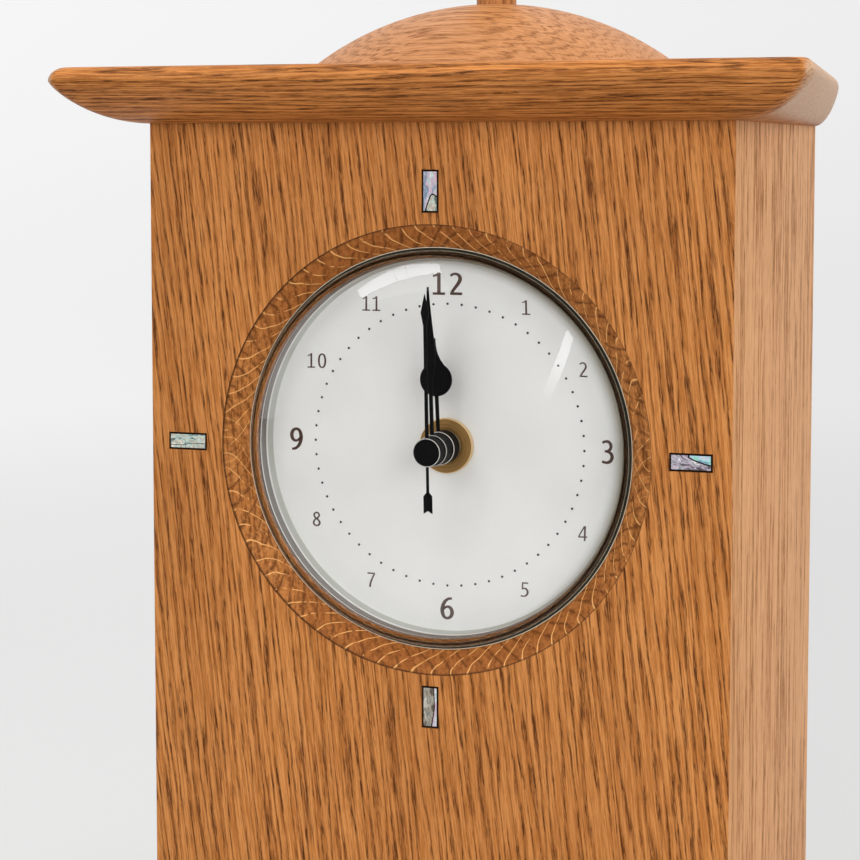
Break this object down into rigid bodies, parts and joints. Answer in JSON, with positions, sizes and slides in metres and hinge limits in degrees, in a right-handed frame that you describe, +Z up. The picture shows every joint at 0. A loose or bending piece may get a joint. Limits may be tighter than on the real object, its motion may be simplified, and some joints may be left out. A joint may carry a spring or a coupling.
{
  "type": "radio-controlled table clock",
  "caption": "Oak table clock with a domed glass over a round dial, an overhanging top plate, a dome and finial, a quartz movement and a hinged back door.",
  "frame": {"origin": "centre of the base board's underside, below the middle of the body", "axes": "+Z up; the dial faces -Y; +X to the right as seen from the front"},
  "size_m": [0.192, 0.1338, 0.2911],
  "materials": {
    "front_oak": "oiled",
    "side_oak": "oiled",
    "plate_oak": "oiled",
    "dome_oak": "oiled",
    "door_oak": "oiled",
    "beech": "raw",
    "shell": "pearly",
    "bezel_steel": "polished",
    "glass": "clear",
    "gasket": "matt",
    "ring_grey": "satin",
    "dial_white": "satin",
    "pan_steel": "satin",
    "brass": "turned",
    "hinge_brass": "satin",
    "brass_screw": "satin",
    "hand_black": "satin",
    "bright_steel": "satin",
    "catch_plastic": "moulded",
    "case_plastic": "moulded",
    "cover_plastic": "moulded",
    "gear_brass": "cut",
    "gear_plastic": "moulded",
    "magnet": "ground",
    "copper": "wound wire",
    "board_green": "lacquered",
    "chip_black": "moulded",
    "ferrite": "sintered",
    "button_white": "moulded",
    "button_blue": "moulded",
    "cell_wrap": "printed film"
  },
  "bodies": {
    "case": {"front_board": "front_oak", "left_side": "side_oak", "right_side": "side_oak", "base_board": "plate_oak", "top_plate": "plate_oak", "dome": "dome_oak", "finial": "dome_oak", "joint_dowels": "beech", "base_screws": "bright_steel", "door_stops": "door_oak", "magnet_catch": "catch_plastic", "hinge_case_leaves": "hinge_brass", "hinge_pins": "hinge_brass", "hinge_case_screws": "brass_screw", "inlay_12": "shell", "inlay_3": "shell", "inlay_6": "shell", "inlay_9": "shell", "bezel": "bezel_steel", "glass_dome": "glass", "glass_gasket": "gasket", "reflector_ring": "ring_grey", "dial_plate": "dial_white", "dial_pan": "pan_steel", "pan_clips": "bright_steel", "clip_screws": "bright_steel", "dial_nut": "brass", "rubber_washer": "gasket", "threaded_bushing": "brass", "movement_case": "case_plastic", "train_plate": "bright_steel", "train_bridge": "bright_steel", "movement_cover": "cover_plastic", "movement_screws": "bright_steel", "motor_stator": "bright_steel", "motor_coil": "copper", "circuit_board": "board_green", "circuit_parts": "chip_black", "antenna_rod": "ferrite", "antenna_coil": "copper", "battery": "cell_wrap", "battery_contacts": "bright_steel"},
    "second": {"second_hand": "hand_black", "second_wheel": "gear_brass"},
    "third": {"third_wheel": "gear_brass"},
    "minute": {"minute_hand": "hand_black", "centre_wheel": "gear_brass"},
    "reduction": {"minute_wheel": "gear_brass"},
    "hour": {"hour_hand": "hand_black", "hour_wheel": "gear_brass"},
    "fifth": {"fifth_wheel": "gear_plastic"},
    "rotor": {"motor_rotor": "magnet"},
    "set_key": {"set_button": "button_white"},
    "receive_key": {"receive_button": "button_blue"},
    "door": {"back_door": "door_oak", "door_knob": "hinge_brass", "strike_plate": "bright_steel", "hinge_door_leaves": "hinge_brass", "hinge_door_screws": "brass_screw"}
  },
  "joints": [
    {"name": "second_turn", "type": "hinge", "parent": "case", "child": "second", "pos_m": [0, -0.033, 0.1498], "axis": [0, 1, 0], "continuous": true},
    {"name": "minute_turn", "type": "hinge", "parent": "case", "child": "minute", "pos_m": [0, -0.033, 0.1498], "axis": [0, 1, 0], "continuous": true},
    {"name": "hour_turn", "type": "hinge", "parent": "case", "child": "hour", "pos_m": [0, -0.033, 0.1498], "axis": [0, 1, 0], "continuous": true},
    {"name": "third_turn", "type": "hinge", "parent": "case", "child": "third", "pos_m": [0.00846, -0.033, 0.15288], "axis": [0, 1, 0], "continuous": true},
    {"name": "reduction_turn", "type": "hinge", "parent": "case", "child": "reduction", "pos_m": [-0.00789, -0.033, 0.15267], "axis": [0, 1, 0], "continuous": true},
    {"name": "fifth_turn", "type": "hinge", "parent": "case", "child": "fifth", "pos_m": [-0.00163, -0.033, 0.15903], "axis": [0, 1, 0], "continuous": true},
    {"name": "rotor_turn", "type": "hinge", "parent": "case", "child": "rotor", "pos_m": [-0.00281, -0.033, 0.16573], "axis": [0, 1, 0], "continuous": true},
    {"name": "set_press", "type": "slide", "parent": "case", "child": "set_key", "axis": [0, -1, 0], "range_m": [0, 0.0008], "stiffness_N_per_m": 600},
    {"name": "receive_press", "type": "slide", "parent": "case", "child": "receive_key", "axis": [0, -1, 0], "range_m": [0, 0.0008], "stiffness_N_per_m": 600},
    {"name": "door_swing", "type": "hinge", "parent": "case", "child": "door", "pos_m": [-0.0586, 0.0548, 0.12], "axis": [0, 0, 1], "range_deg": [0, 165]}
  ],
  "couplings": [
    {"joint": "minute_turn", "follows": "second_turn", "ratio": 0.016667},
    {"joint": "hour_turn", "follows": "second_turn", "ratio": 0.0013889},
    {"joint": "third_turn", "follows": "second_turn", "ratio": -0.13333},
    {"joint": "reduction_turn", "follows": "second_turn", "ratio": -0.0055556},
    {"joint": "fifth_turn", "follows": "second_turn", "ratio": -4},
    {"joint": "rotor_turn", "follows": "second_turn", "ratio": 30}
  ]
}
